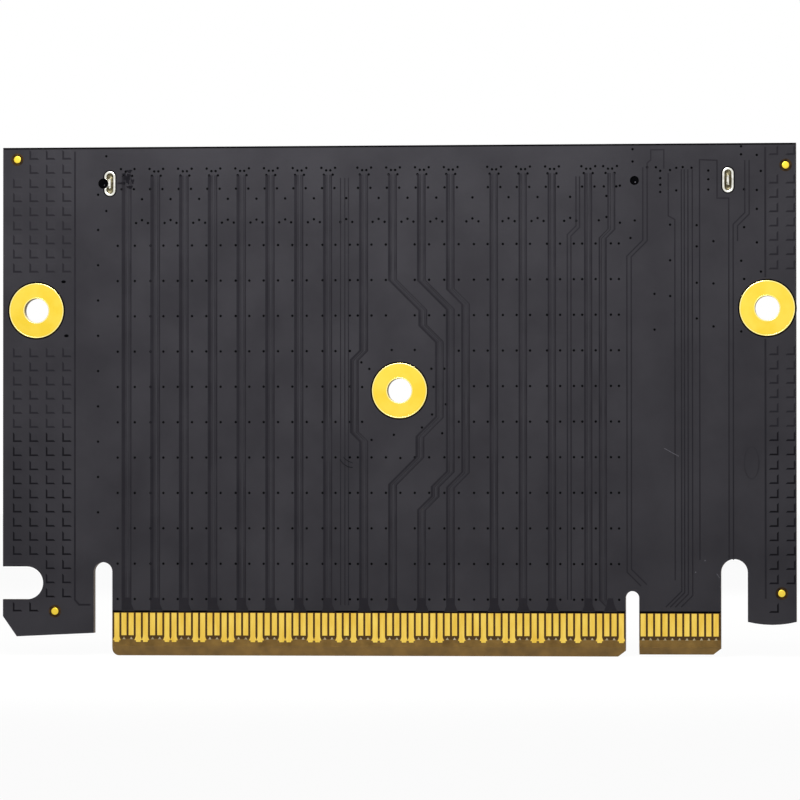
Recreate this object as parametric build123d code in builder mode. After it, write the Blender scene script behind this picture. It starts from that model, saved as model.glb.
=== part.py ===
"""Server riser card: a double-sided edge-connector board that carries a full-length card slot.

Frame: X runs along the edge connector (the short tab is towards +X), Z is up, and the contact fingers
point down. The bare rear face looks towards -Y and the slot stands out of the front face, towards +Y.
The origin is the bottom edge of the long tab, below the middle of the key notch, half way through the board.
All sizes are in millimetres.
"""

import os
from math import cos, pi, sin

from build123d import *

os.makedirs("parts", exist_ok=True)

# Laminate
board_thickness = 1.6
board_height = 70.45
copper = 0.05

# Edge connector: contacts are numbered from the short tab's outer end
contact_pitch = 1.0
short_tab_contacts = 11
long_tab_contacts = 71
key_gap = 3.0
key_width = 1.9
key_height = 9.0
tab_margin = 0.65
short_tab_rise = 0.3
bevel_height = 1.3
bevel_depth = 0.45
tab_corner_radius = 0.9
tab_chamfer_x = 1.05
tab_chamfer_z = 0.8
finger_width = 0.7
finger_top = 5.9
long_finger_bottom = 2.3
short_finger_bottom = 2.8

# Ears beside the tabs, and the relief slots between ears and tabs
left_relief_width = 2.6
left_relief_height = 12.9
left_ear_width = 12.75
left_ear_bottom = 2.6
left_ear_slope = 0.5
left_corner_x = 1.95
left_corner_z = 2.8
right_relief_width = 3.7
right_relief_height = 13.4
right_ear_width = 6.65
right_ear_bottom = 4.4
right_ear_crown = 0.4

# Hook notch in the left edge
hook_bottom = 7.75
hook_gap = 4.55
hook_reach = 5.65

# Plated mounting holes
hole_diameter = 3.4
hole_pad_diameter = 7.6
side_hole_height = 47.8
left_hole_inset = 4.7
right_hole_inset = 3.95
centre_hole_drop = 11.2
# The centre hole stands beside this contact, whose run goes round it
centre_hole_contact = 43
centre_hole_shift = 0.375

# Alignment dots
dot_diameter = 1.0
dot_sides = 12
dot_left_inset = 2.0
dot_right_inset = 1.4
dot_left_drop = 1.65
dot_right_drop = 3.05
dot_low_left_inset = 7.3
dot_low_left_height = 6.1
dot_low_right_inset = 2.0
dot_low_right_height = 8.7

# Signal pairs, each named by its lower contact number, and their copper runs under the rear solder mask
rear_pairs = [13, 16, 21, 25, 29, 35, 39, 43, 47, 52, 56, 60, 64, 68, 72, 76, 80]
front_pairs = [14, 19, 23, 27, 33, 37, 41, 45, 50, 54, 58, 62, 66, 70, 74, 78]
trace_width = 0.2
trace_gap = 0.3
trace_thickness = 0.04
trace_top_drop = 4.0
# Pairs that swing round the centre hole: going up, the height and the sideways step of each 45 degree jog
detours = {
    35: [(23.2, 2.1), (48.5, -2.1)],
    39: [(20.1, 1.9), (23.3, 2.1), (47.8, -4.0)],
    43: [(23.6, 3.8), (30.2, 2.7), (43.3, -2.3), (47.7, -4.2)],
    47: [(29.6, -1.3), (40.8, 1.3)],
}

# Card slot, measured from the front face and from its own centreline
slot_drop = 5.05
slot_shift = 0.35
slot_width = 7.5
slot_height = 11.25
card_gap = 1.8
card_depth = 8.9
card_clearance = 0.15
floor_bar = 1.4
end_wall = 2.2
key_clearance = 0.125
mouth_width = 3.4
mouth_depth = 0.9
slot_corner = 0.5
slot_top_chamfer = 0.3

# Contacts of the slot
contact_thickness = 0.2
contact_width = 0.5
cavity_side_clearance = 0.1
cavity_depth = 1.4
cavity_back_clearance = 0.2
cavity_top_drop = 1.8
contact_bow = 0.38
bow_below_top = 4.0
tip_above_bow = 1.4
tip_back = 0.5
foot_overhang = 0.7
belly_clearance = 0.2

# Locating pegs and board locks of the slot
peg_clearance = 0.05
left_peg_hole_diameter = 1.4
key_peg_hole_diameter = 1.2
peg_length = 1.35
peg_chamfer = 0.2
lock_thickness = 0.3
lock_width = 2.6
lock_depth = 5.0
lock_inset = 0.55
lock_clearance = 0.05
lock_tail_width = 1.3
lock_tail_proud = 0.35
lock_tail_taper = 0.3
peg_to_lock = 0.1
lock_hole_side_gap = 0.3
lock_hole_end_gap = 0.75
lock_pad_margin = 0.35
solder_depth = 1.2

# Ceramic capacitors beside the slot
capacitor_length = 2.0
capacitor_width = 1.25
terminal_length = 0.4
terminal_lip = 0.05
capacitor_pitch = 3.6
capacitor_count = 4
capacitor_to_slot = 3.2

# Worked-out sizes of the board
half_board = board_thickness / 2
tab_right = key_gap / 2 + (short_tab_contacts - 1) * contact_pitch + tab_margin
tab_left = -(key_gap / 2 + (long_tab_contacts - 1) * contact_pitch + tab_margin)
board_left = tab_left - left_relief_width - left_ear_width
board_right = tab_right + right_relief_width + right_ear_width
half_key = key_width / 2
short_tab_xs = [key_gap / 2 + i * contact_pitch for i in range(short_tab_contacts)]
long_tab_xs = [-key_gap / 2 - i * contact_pitch for i in range(long_tab_contacts)]
contact_xs = short_tab_xs[::-1] + long_tab_xs
contact_x = dict(enumerate(contact_xs, start=1))
rear_face = Plane.XZ.offset(half_board)
front_face = Plane.XZ.offset(-half_board)
rear_copper = Plane.XZ.offset(half_board + copper)
plated_thickness = board_thickness + 2 * copper

left_hole_x = board_left + left_hole_inset
right_hole_x = board_right - right_hole_inset
mounting_holes = {
    "left": (left_hole_x, side_hole_height),
    "right": (right_hole_x, side_hole_height),
    "centre": (contact_x[centre_hole_contact] + centre_hole_shift, side_hole_height - centre_hole_drop),
}
drill_diameter = hole_diameter + 2 * copper
alignment_dots = [
    (board_left + dot_left_inset, board_height - dot_left_drop),
    (board_right - dot_right_inset, board_height - dot_right_drop),
    (board_left + dot_low_left_inset, dot_low_left_height),
    (board_right - dot_low_right_inset, dot_low_right_height),
]

# Worked-out sizes of the slot
slot_z = board_height - slot_drop
slot_key_x = slot_shift
opening_left = tab_left + slot_shift - card_clearance
opening_right = tab_right + slot_shift + card_clearance
opening_x = (opening_left + opening_right) / 2
housing_left = opening_left - end_wall
housing_right = opening_right + end_wall
housing_length = housing_right - housing_left
key_rib = key_width - 2 * key_clearance
cavity_width = contact_width + 2 * cavity_side_clearance
cavity_back = card_gap / 2 + cavity_depth
belly_height = copper + contact_thickness + belly_clearance
slot_contact_xs = [x + slot_shift for x in contact_xs]

lock_xs = {"left": opening_left - lock_inset, "right": opening_right + lock_inset}
lock_hole_width = lock_thickness + 2 * lock_hole_side_gap
lock_hole_length = lock_tail_width + 2 * lock_hole_end_gap
lock_drill_width = lock_hole_width + 2 * copper
lock_drill_length = lock_hole_length + 2 * copper
lock_pad_width = lock_hole_width + 2 * lock_pad_margin
lock_pad_length = lock_hole_length + 2 * lock_pad_margin
left_peg_x = lock_xs["left"] - lock_thickness / 2 - peg_to_lock - left_peg_hole_diameter / 2 + peg_clearance
pegs = [(left_peg_x, left_peg_hole_diameter), (slot_key_x, key_peg_hole_diameter)]


def oblong(length, width):
    """Gives the corners of an upright slot, each end half of a polygon with dot_sides sides."""
    radius = width / 2
    reach = length / 2 - radius
    turns = [2 * pi * step / dot_sides for step in range(dot_sides // 2 + 1)]
    upper = [(radius * cos(turn), reach + radius * sin(turn)) for turn in turns]
    return upper + [(-x, -z) for x, z in upper]


# Riser board: one routed and drilled laminate, with the connector edge bevelled on both faces
hook_radius = hook_gap / 2
left_relief_radius = left_relief_width / 2
right_relief_radius = right_relief_width / 2
left_relief_spring = left_relief_height - left_relief_radius
right_relief_spring = right_relief_height - right_relief_radius
key_spring = key_height - half_key
ear_inner_left = tab_left - left_relief_width
ear_inner_right = tab_right + right_relief_width
right_ear_corner = right_ear_bottom + right_ear_crown
hook_top = hook_bottom + hook_gap
hook_centre_x = board_left + hook_reach - hook_radius

with BuildPart() as riser_board:
    with BuildSketch(Plane.XZ):
        with BuildLine():
            Polyline(
                (board_left, hook_top),
                (board_left, board_height),
                (board_right, board_height),
                (board_right, right_ear_corner),
            )
            ThreePointArc(
                (board_right, right_ear_corner),
                ((board_right + ear_inner_right) / 2, right_ear_bottom),
                (ear_inner_right, right_ear_corner),
            )
            Line((ear_inner_right, right_ear_corner), (ear_inner_right, right_relief_spring))
            ThreePointArc(
                (ear_inner_right, right_relief_spring),
                (tab_right + right_relief_radius, right_relief_height),
                (tab_right, right_relief_spring),
            )
            Polyline(
                (tab_right, right_relief_spring),
                (tab_right, short_tab_rise + tab_chamfer_z),
                (tab_right - tab_chamfer_x, short_tab_rise),
                (half_key, short_tab_rise),
                (half_key, key_spring),
            )
            ThreePointArc((half_key, key_spring), (0, key_height), (-half_key, key_spring))
            Polyline(
                (-half_key, key_spring),
                (-half_key, tab_chamfer_z),
                (-half_key - tab_chamfer_x, 0),
                (tab_left + tab_corner_radius, 0),
            )
            RadiusArc((tab_left + tab_corner_radius, 0), (tab_left, tab_corner_radius), tab_corner_radius)
            Line((tab_left, tab_corner_radius), (tab_left, left_relief_spring))
            ThreePointArc(
                (tab_left, left_relief_spring),
                (tab_left - left_relief_radius, left_relief_height),
                (ear_inner_left, left_relief_spring),
            )
            Polyline(
                (ear_inner_left, left_relief_spring),
                (ear_inner_left, left_ear_bottom + left_ear_slope),
                (board_left + left_corner_x, left_ear_bottom),
                (board_left, left_ear_bottom + left_corner_z),
                (board_left, hook_bottom),
                (hook_centre_x, hook_bottom),
            )
            ThreePointArc(
                (hook_centre_x, hook_bottom),
                (board_left + hook_reach, hook_bottom + hook_radius),
                (hook_centre_x, hook_top),
            )
            Line((hook_centre_x, hook_top), (board_left, hook_top))
        make_face()
        with Locations(*mounting_holes.values()):
            Circle(drill_diameter / 2, mode=Mode.SUBTRACT)
        with Locations(*[(x, slot_z) for x in lock_xs.values()]):
            Polygon(*oblong(lock_drill_length, lock_drill_width), mode=Mode.SUBTRACT)
        for peg_x, peg_hole_diameter in pegs:
            with Locations((peg_x, slot_z)):
                Circle(peg_hole_diameter / 2, mode=Mode.SUBTRACT)
    extrude(amount=half_board, both=True)
    with BuildSketch(Plane.YZ.offset(tab_left)):
        with BuildLine():
            Polyline(
                (half_board, bevel_height),
                (half_board, -bevel_height),
                (half_board - 2 * bevel_depth, -bevel_height),
                close=True,
            )
        make_face()
        mirror(about=Plane.YZ)
    extrude(amount=tab_right - tab_left, mode=Mode.SUBTRACT)
riser_board.part.label = "riser_board"
export_step(riser_board.part, "parts/riser_board.step")


# Contact fingers: ground contacts reach further down, so that they meet the socket first
finger_sides = {
    "rear": (rear_face, copper, rear_pairs),
    "front": (front_face, -copper, front_pairs),
}
tabs = {
    "short_tab": range(1, short_tab_contacts + 1),
    "long_tab": range(short_tab_contacts + 1, len(contact_xs) + 1),
}
for side, (face, thickness, pairs) in finger_sides.items():
    grounds = {pair - 1 for pair in pairs} | {pair + 2 for pair in pairs}
    for tab, numbers in tabs.items():
        with BuildPart() as fingers:
            with BuildSketch(face):
                for number in numbers:
                    bottom = long_finger_bottom if number in grounds else short_finger_bottom
                    with Locations((contact_x[number], bottom)):
                        Rectangle(finger_width, finger_top - bottom, align=(Align.CENTER, Align.MIN))
            extrude(amount=thickness)
        fingers.part.label = f"{side}_{tab}_fingers"
        export_step(fingers.part, f"parts/{fingers.part.label}.step")


# Copper runs of the signal pairs, which show as low ridges under the rear solder mask
trace_top = board_height - trace_top_drop
run_step = (trace_gap + trace_width) / 2
routed_pairs = [pair for pair in rear_pairs if pair < len(contact_xs)]

with BuildPart() as rear_signal_traces:
    with BuildSketch(rear_face):
        for pair in routed_pairs:
            for side in (-1, 1):
                x = (contact_x[pair] + contact_x[pair + 1]) / 2 + side * run_step
                run = [(x, finger_top)]
                for height, step in detours.get(pair, []):
                    run.append((x, height))
                    x += step
                    run.append((x, height + abs(step)))
                run.append((x, trace_top))
                with BuildLine() as path:
                    Polyline(*run)
                trace(path.line, line_width=trace_width)
    extrude(amount=trace_thickness)
rear_signal_traces.part.label = "rear_signal_traces"
export_step(rear_signal_traces.part, "parts/rear_signal_traces.step")


# Plated mounting holes: a barrel with a round pad on each face, turned from one half section
half_plated = plated_thickness / 2

for side, (x, z) in mounting_holes.items():
    wall = x + hole_diameter / 2
    rim = x + hole_pad_diameter / 2
    with BuildPart() as hole_plating:
        with BuildSketch(Plane.XY.offset(z)):
            with BuildLine():
                Polyline(
                    (wall, -half_plated),
                    (rim, -half_plated),
                    (rim, -half_board),
                    (wall + copper, -half_board),
                    (wall + copper, half_board),
                    (rim, half_board),
                    (rim, half_plated),
                    (wall, half_plated),
                    close=True,
                )
            make_face()
        revolve(axis=Axis((x, 0, z), (0, 1, 0)))
    hole_plating.part.label = f"{side}_hole_plating"
    export_step(hole_plating.part, f"parts/{hole_plating.part.label}.step")


# Alignment dots for the assembly machine, on both faces, as twelve-sided prisms
for side, (face, thickness, _) in finger_sides.items():
    with BuildPart() as dots:
        with BuildSketch(face):
            with Locations(*alignment_dots):
                RegularPolygon(dot_diameter / 2, dot_sides)
        extrude(amount=thickness)
    dots.part.label = f"{side}_alignment_dots"
    export_step(dots.part, f"parts/{dots.part.label}.step")


# Board locks: a stamped strip in each end of the slot, its tail soldered in a plated oblong hole
lock_top = half_board + lock_depth
tail_end = -half_board - lock_tail_proud
half_tail = lock_tail_width / 2

for side, x in lock_xs.items():
    with BuildPart() as board_lock:
        with BuildSketch(Plane.YZ.offset(x)):
            with BuildLine():
                Polyline(
                    (lock_top, slot_z - lock_width / 2),
                    (half_board, slot_z - lock_width / 2),
                    (half_board, slot_z - half_tail),
                    (tail_end + lock_tail_taper, slot_z - half_tail),
                    (tail_end, slot_z - half_tail + lock_tail_taper),
                    (tail_end, slot_z + half_tail - lock_tail_taper),
                    (tail_end + lock_tail_taper, slot_z + half_tail),
                    (half_board, slot_z + half_tail),
                    (half_board, slot_z + lock_width / 2),
                    (lock_top, slot_z + lock_width / 2),
                    close=True,
                )
            make_face()
        extrude(amount=lock_thickness / 2, both=True)
    board_lock.part.label = f"{side}_board_lock"
    export_step(board_lock.part, f"parts/{board_lock.part.label}.step")

    with BuildPart() as lock_plating:
        with BuildSketch(rear_copper, front_face):
            with Locations((x, slot_z)):
                Polygon(*oblong(lock_pad_length, lock_pad_width))
        extrude(amount=-copper)
        with BuildSketch(rear_face):
            with Locations((x, slot_z)):
                Polygon(*oblong(lock_drill_length, lock_drill_width))
        extrude(amount=-board_thickness)
        with BuildSketch(rear_copper):
            with Locations((x, slot_z)):
                Polygon(*oblong(lock_hole_length, lock_hole_width))
            with Locations((left_peg_x, slot_z)):
                Circle(left_peg_hole_diameter / 2)
        extrude(amount=-plated_thickness, mode=Mode.SUBTRACT)
    lock_plating.part.label = f"{side}_lock_plating"
    export_step(lock_plating.part, f"parts/{lock_plating.part.label}.step")

    with BuildPart() as lock_solder:
        with BuildSketch(front_face):
            with Locations((x, slot_z)):
                Polygon(*oblong(lock_hole_length, lock_hole_width))
                Rectangle(lock_thickness, lock_tail_width, mode=Mode.SUBTRACT)
            with Locations((left_peg_x, slot_z)):
                Circle(left_peg_hole_diameter / 2, mode=Mode.SUBTRACT)
        extrude(amount=solder_depth)
    lock_solder.part.label = f"{side}_lock_solder"
    export_step(lock_solder.part, f"parts/{lock_solder.part.label}.step")


# Contacts of the slot: a strip formed into a soldered foot, a leaning beam and a bow that meets the card,
# with a coined tip that stands back from the card
heel = cavity_back - cavity_back_clearance - contact_thickness
bow = card_gap / 2 - contact_bow
bow_y = half_board + slot_height - bow_below_top
foot_reach = slot_width / 2 + foot_overhang

with BuildPart() as upper_slot_contacts:
    with BuildSketch(*[Plane.YZ.offset(x) for x in slot_contact_xs]):
        with BuildLine():
            Polyline(
                (half_board, slot_z + foot_reach),
                (half_board, slot_z + heel),
                (bow_y, slot_z + bow),
                (bow_y + tip_above_bow, slot_z + bow + tip_back),
                (bow_y, slot_z + bow + contact_thickness),
                (half_board + contact_thickness, slot_z + heel + contact_thickness),
                (half_board + contact_thickness, slot_z + foot_reach),
                close=True,
            )
        make_face()
    extrude(amount=contact_width / 2, both=True)
upper_slot_contacts.part.label = "upper_slot_contacts"
export_step(upper_slot_contacts.part, "parts/upper_slot_contacts.step")

with BuildPart() as lower_slot_contacts:
    mirror(upper_slot_contacts.part, about=Plane.XY.offset(slot_z))
lower_slot_contacts.part.label = "lower_slot_contacts"
export_step(lower_slot_contacts.part, "parts/lower_slot_contacts.step")


# Slot housing: one moulding on three feet. Ribs part the contact cavities in both side walls, and an open
# trough on each side of the bar under the card lets the contacts out to their feet.
belly_face = front_face.offset(-belly_height)
floor_face = front_face.offset(card_depth - slot_height)
top_face = front_face.offset(-slot_height)
cavity_middle = (cavity_back + card_gap / 2) / 2
cavity_places = [(x, slot_z + side * cavity_middle) for x in slot_contact_xs for side in (-1, 1)]
cavity_height = card_depth - cavity_top_drop
lead_in = (mouth_width - card_gap) / 2
lead_in_angle = Vector(mouth_depth, lead_in).get_angle(Vector(1, 0))
pad_recess_width = lock_pad_width + 2 * lock_clearance
pad_recess_length = lock_pad_length + 2 * lock_clearance

with BuildPart() as slot_housing:
    with BuildSketch(belly_face):
        with Locations((housing_left + housing_length / 2, slot_z)):
            Rectangle(housing_length, slot_width)
    extrude(amount=belly_height - slot_height)
    chamfer(slot_housing.edges().filter_by(Axis.Y), slot_corner)
    chamfer(slot_housing.faces().sort_by(Axis.Y)[-1].edges(), slot_top_chamfer)
    with BuildSketch(front_face):
        with Locations((housing_left, slot_z)):
            Rectangle(end_wall, slot_width - 2 * slot_corner, align=(Align.MIN, Align.CENTER))
        with Locations((housing_right, slot_z)):
            Rectangle(end_wall, slot_width - 2 * slot_corner, align=(Align.MAX, Align.CENTER))
        with Locations((slot_key_x, slot_z)):
            Rectangle(key_rib, slot_width)
    extrude(amount=-belly_height)
    with BuildSketch(front_face):
        for peg_x, peg_hole_diameter in pegs:
            with Locations((peg_x, slot_z)):
                Circle(peg_hole_diameter / 2 - peg_clearance)
    extrude(amount=peg_length)
    chamfer(slot_housing.faces().group_by(Axis.Y)[0].edges(), peg_chamfer)
    with BuildSketch(top_face):
        with Locations((opening_x, slot_z)):
            Rectangle(opening_right - opening_left + 2 * lead_in, mouth_width)
    extrude(amount=mouth_depth, taper=lead_in_angle, mode=Mode.SUBTRACT)
    with BuildSketch(top_face):
        with Locations((opening_x, slot_z)):
            Rectangle(opening_right - opening_left, card_gap)
        with Locations((slot_key_x, slot_z)):
            Rectangle(key_rib, card_gap, mode=Mode.SUBTRACT)
    extrude(amount=card_depth, mode=Mode.SUBTRACT)
    with BuildSketch(belly_face):
        with Locations((opening_x, slot_z)):
            Rectangle(opening_right - opening_left, 2 * cavity_back)
            Rectangle(opening_right - opening_left, floor_bar, mode=Mode.SUBTRACT)
        with Locations((slot_key_x, slot_z)):
            Rectangle(key_rib, 2 * cavity_back, mode=Mode.SUBTRACT)
    extrude(amount=card_depth + belly_height - slot_height, mode=Mode.SUBTRACT)
    with BuildSketch(floor_face):
        with Locations(*cavity_places):
            Rectangle(cavity_width, cavity_depth)
    extrude(amount=-cavity_height, mode=Mode.SUBTRACT)
    with BuildSketch(front_face):
        with Locations(*[(x, slot_z) for x in lock_xs.values()]):
            Rectangle(lock_thickness + 2 * lock_clearance, lock_width + 2 * lock_clearance)
    extrude(amount=-lock_depth - lock_clearance, mode=Mode.SUBTRACT)
    with BuildSketch(front_face):
        with Locations(*[(x, slot_z) for x in lock_xs.values()]):
            Polygon(*oblong(pad_recess_length, pad_recess_width))
        with Locations(*[(peg_x, slot_z) for peg_x, _ in pegs]):
            Circle(left_peg_hole_diameter / 2, mode=Mode.SUBTRACT)
    extrude(amount=-copper - lock_clearance, mode=Mode.SUBTRACT)
slot_housing.part.label = "slot_housing"
export_step(slot_housing.part, "parts/slot_housing.step")


# Ceramic capacitors between the slot and the short tab's contacts
capacitor_z = slot_z - slot_width / 2 - capacitor_to_slot
capacitor_height = capacitor_width - 2 * terminal_lip
capacitor_places = [(key_gap / 2 + i * capacitor_pitch, capacitor_z) for i in range(capacitor_count)]
terminal_step = (capacitor_length - terminal_length) / 2

with BuildPart() as capacitor_bodies:
    with BuildSketch(front_face.offset(-terminal_lip)):
        with Locations(*capacitor_places):
            Rectangle(capacitor_height, capacitor_length - 2 * terminal_length)
    extrude(amount=-capacitor_height)
capacitor_bodies.part.label = "capacitor_bodies"
export_step(capacitor_bodies.part, "parts/capacitor_bodies.step")

with BuildPart() as capacitor_terminals:
    with BuildSketch(front_face):
        with Locations(*capacitor_places):
            with Locations((0, terminal_step), (0, -terminal_step)):
                Rectangle(capacitor_width, terminal_length)
    extrude(amount=-capacitor_width)
capacitor_terminals.part.label = "capacitor_terminals"
export_step(capacitor_terminals.part, "parts/capacitor_terminals.step")
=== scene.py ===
"""Dresses the server riser card for a studio picture of its bare rear side."""

import logging
import math
from dataclasses import dataclass, field
from enum import Enum
from typing import Any

import bmesh
import bpy
from mathutils import Matrix, Vector


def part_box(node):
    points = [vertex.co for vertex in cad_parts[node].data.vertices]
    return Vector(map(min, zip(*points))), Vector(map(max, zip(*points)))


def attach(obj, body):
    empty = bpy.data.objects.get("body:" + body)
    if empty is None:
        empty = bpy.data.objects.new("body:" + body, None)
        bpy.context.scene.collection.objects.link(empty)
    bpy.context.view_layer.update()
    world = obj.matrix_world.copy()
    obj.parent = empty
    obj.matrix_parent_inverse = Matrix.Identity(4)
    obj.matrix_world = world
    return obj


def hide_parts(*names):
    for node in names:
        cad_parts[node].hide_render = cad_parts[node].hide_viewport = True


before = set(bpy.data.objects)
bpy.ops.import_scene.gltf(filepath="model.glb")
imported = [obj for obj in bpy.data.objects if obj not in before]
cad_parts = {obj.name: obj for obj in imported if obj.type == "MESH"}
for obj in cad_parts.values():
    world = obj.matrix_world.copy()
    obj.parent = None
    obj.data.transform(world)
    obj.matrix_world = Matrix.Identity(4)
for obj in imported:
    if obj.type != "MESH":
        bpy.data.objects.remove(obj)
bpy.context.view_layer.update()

log = logging.getLogger("riser_card")

MM = 0.001
HALF_BOARD = 0.8
BODY = "root"

Point = tuple[float, float]
Place = tuple[float, float, float]
Loop = list[bmesh.types.BMVert]
Stage = tuple[list[Point], float, int]
Socket = bpy.types.NodeSocket

# Places that the pieces share, in millimetres, read from the frame where a node shows them
MASK_MARGIN = 0.3
LONG_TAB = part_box("rear_long_tab_fingers")
SHORT_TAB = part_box("rear_short_tab_fingers")
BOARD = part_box("riser_board")
FINGER_TOP = LONG_TAB[1].z / MM
TAB_LEFT = LONG_TAB[0].x / MM - MASK_MARGIN
TAB_RIGHT = SHORT_TAB[1].x / MM + MASK_MARGIN
BOARD_LEFT = BOARD[0].x / MM
BOARD_RIGHT = BOARD[1].x / MM
BOARD_TOP = BOARD[1].z / MM
KEY_HALF = 0.95
SHORT_TAB_CONTACTS = 11
CONTACTS = 82
SHORT_TAB_START = 12.5
LONG_TAB_START = 10.5
REAR_PAIRS = (13, 16, 21, 25, 29, 35, 39, 43, 47, 52, 56, 60, 64, 68, 72, 76, 80)
FRONT_PAIRS = (14, 19, 23, 27, 33, 37, 41, 45, 50, 54, 58, 62, 66, 70, 74, 78)
RUN_TOP = 66.45
SLOT_HEIGHT = 65.4
CENTRE_HOLE: Point = (-32.125, 36.6)
SIDE_HOLE_HEIGHT = 47.8
HOLES: tuple[Point, ...] = ((-82.8, SIDE_HOLE_HEIGHT), (18.55, SIDE_HOLE_HEIGHT), CENTRE_HOLE)
DOTS: tuple[Point, ...] = ((-85.5, 68.8), (21.1, 67.4), (-80.2, 6.1), (20.5, 8.7))

# Detail of the noise behind the drifting tone, the fine relief and the laminate's weave
TONE_DETAIL = 4.0
RELIEF_DETAIL = 3.0
WEAVE_DETAIL = 2.0
# Range of the tone's noise that is spread over the two colours
TONE_RANGE = (0.35, 0.65)

# Pairs that jog on their way: the height and the sideways step of each jog, going up
DETOURS: dict[int, list[Point]] = {
    13: [(6.8, -1.0), (57.5, 1.2)],
    35: [(23.2, 2.1), (48.5, -2.1)],
    39: [(20.1, 1.9), (23.3, 2.1), (47.8, -4.0)],
    43: [(23.6, 3.8), (30.2, 2.7), (43.3, -2.3), (47.7, -4.2)],
    47: [(29.6, -1.3), (40.8, 1.3)],
}


def contact_x(number: float) -> float:
    """Gives the X of a contact by its number, counted from the short tab's outer end."""
    start = SHORT_TAB_START if number < SHORT_TAB_CONTACTS + 0.5 else LONG_TAB_START
    return start - number


def linear(colour: str) -> tuple[float, float, float, float]:
    """Turns an sRGB hex value into the linear colour that Blender's sockets take.

    Args:
        colour: Six hex digits after a hash.

    Returns:
        Red, green, blue and an alpha of 1.
    """
    shares = [int(colour[i : i + 2], 16) / 255 for i in (1, 3, 5)]
    red, green, blue = (s / 12.92 if s <= 0.04045 else ((s + 0.055) / 1.055) ** 2.4 for s in shares)
    return red, green, blue, 1.0


def add_node(
    tree: bpy.types.NodeTree,
    kind: str,
    settings: dict[str, Any] | None = None,
    inputs: dict[str | int, Any] | None = None,
) -> bpy.types.Node:
    """Adds one node, sets its values and links its inputs.

    Args:
        tree: Node tree that gets the node.
        kind: Blender's name of the node.
        settings: Attributes of the node itself.
        inputs: Values of its sockets, or the outputs that feed them.

    Returns:
        The new node.
    """
    node = tree.nodes.new(kind)
    for name, value in (settings or {}).items():
        setattr(node, name, value)
    for name, value in (inputs or {}).items():
        if isinstance(value, bpy.types.NodeSocket):
            tree.links.new(value, node.inputs[name])
        else:
            node.inputs[name].default_value = value
    return node


def calculate(tree: bpy.types.NodeTree, operation: str, first: Any, second: Any = 0.0) -> Socket:
    """Gives the result of one sum or comparison of two values."""
    return add_node(tree, "ShaderNodeMath", {"operation": operation}, {0: first, 1: second}).outputs[0]


def blend(tree: bpy.types.NodeTree, factor: Socket, low: Any, high: Any) -> Socket:
    """Gives the colour low where factor is 0 and high where it is 1."""
    mix = add_node(tree, "ShaderNodeMix", {"data_type": "RGBA"}, {"Factor": factor, "A": low, "B": high})
    return mix.outputs["Result"]


def noise(tree: bpy.types.NodeTree, place: Socket, grain_mm: float, detail: float) -> Socket:
    """Gives noise with grains of one size.

    Args:
        tree: Node tree of the material.
        place: Coordinates to draw it on, in metres.
        grain_mm: Size of a grain.
        detail: How many finer layers it has.

    Returns:
        The noise's socket.
    """
    inputs = {"Vector": place, "Scale": 1 / (grain_mm * MM), "Detail": detail}
    return add_node(tree, "ShaderNodeTexNoise", inputs=inputs).outputs["Fac"]


@dataclass(frozen=True)
class Finish:
    """A surface as its maker would name it, with a colour that drifts and a fine relief.

    The drift mixes base and drift over patches of patch_mm, and the relief has grains of grain_mm.
    """

    name: str
    slot: str
    base: str
    drift: str
    roughness: float
    metallic: float = 0.0
    ior: float = 1.5
    specular: float = 0.5
    patch_mm: float = 6.0
    grain_mm: float = 0.3
    relief_mm: float = 0.0
    stretch: tuple[float, float, float] = (1.0, 1.0, 1.0)

    def tone(self, tree: bpy.types.NodeTree, place: Socket) -> Socket:
        """Gives the colour: base and drift mixed by slow noise.

        Args:
            tree: Node tree of the material.
            place: Coordinates to draw the noise on, in metres.

        Returns:
            The colour's socket.
        """
        low, high = TONE_RANGE
        inputs = {"Value": noise(tree, place, self.patch_mm, TONE_DETAIL), "From Min": low, "From Max": high}
        spread = add_node(tree, "ShaderNodeMapRange", inputs=inputs)
        return blend(tree, spread.outputs["Result"], linear(self.base), linear(self.drift))

    def material(self) -> bpy.types.Material:
        """Gives the material of this finish, made once."""
        known = bpy.data.materials.get(self.name)
        if known:
            return known
        made = bpy.data.materials.new(self.name)
        made.use_nodes = True
        tree = made.node_tree
        tree.nodes.clear()
        coords = add_node(tree, "ShaderNodeTexCoord").outputs["Object"]
        mapping = add_node(tree, "ShaderNodeMapping", inputs={"Vector": coords, "Scale": self.stretch})
        place = mapping.outputs["Vector"]
        shader = add_node(
            tree,
            "ShaderNodeBsdfPrincipled",
            inputs={
                "Base Color": self.tone(tree, place),
                "Roughness": self.roughness,
                "Metallic": self.metallic,
                "IOR": self.ior,
                "Specular IOR Level": self.specular,
            },
        )
        if self.relief_mm:
            grain = noise(tree, place, self.grain_mm, RELIEF_DETAIL)
            inputs = {"Height": grain, "Distance": self.relief_mm * MM, "Strength": 1.0}
            bump = add_node(tree, "ShaderNodeBump", inputs=inputs)
            tree.links.new(bump.outputs["Normal"], shader.inputs["Normal"])
        add_node(tree, "ShaderNodeOutputMaterial", inputs={"Surface": shader.outputs["BSDF"]})
        return made


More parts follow.
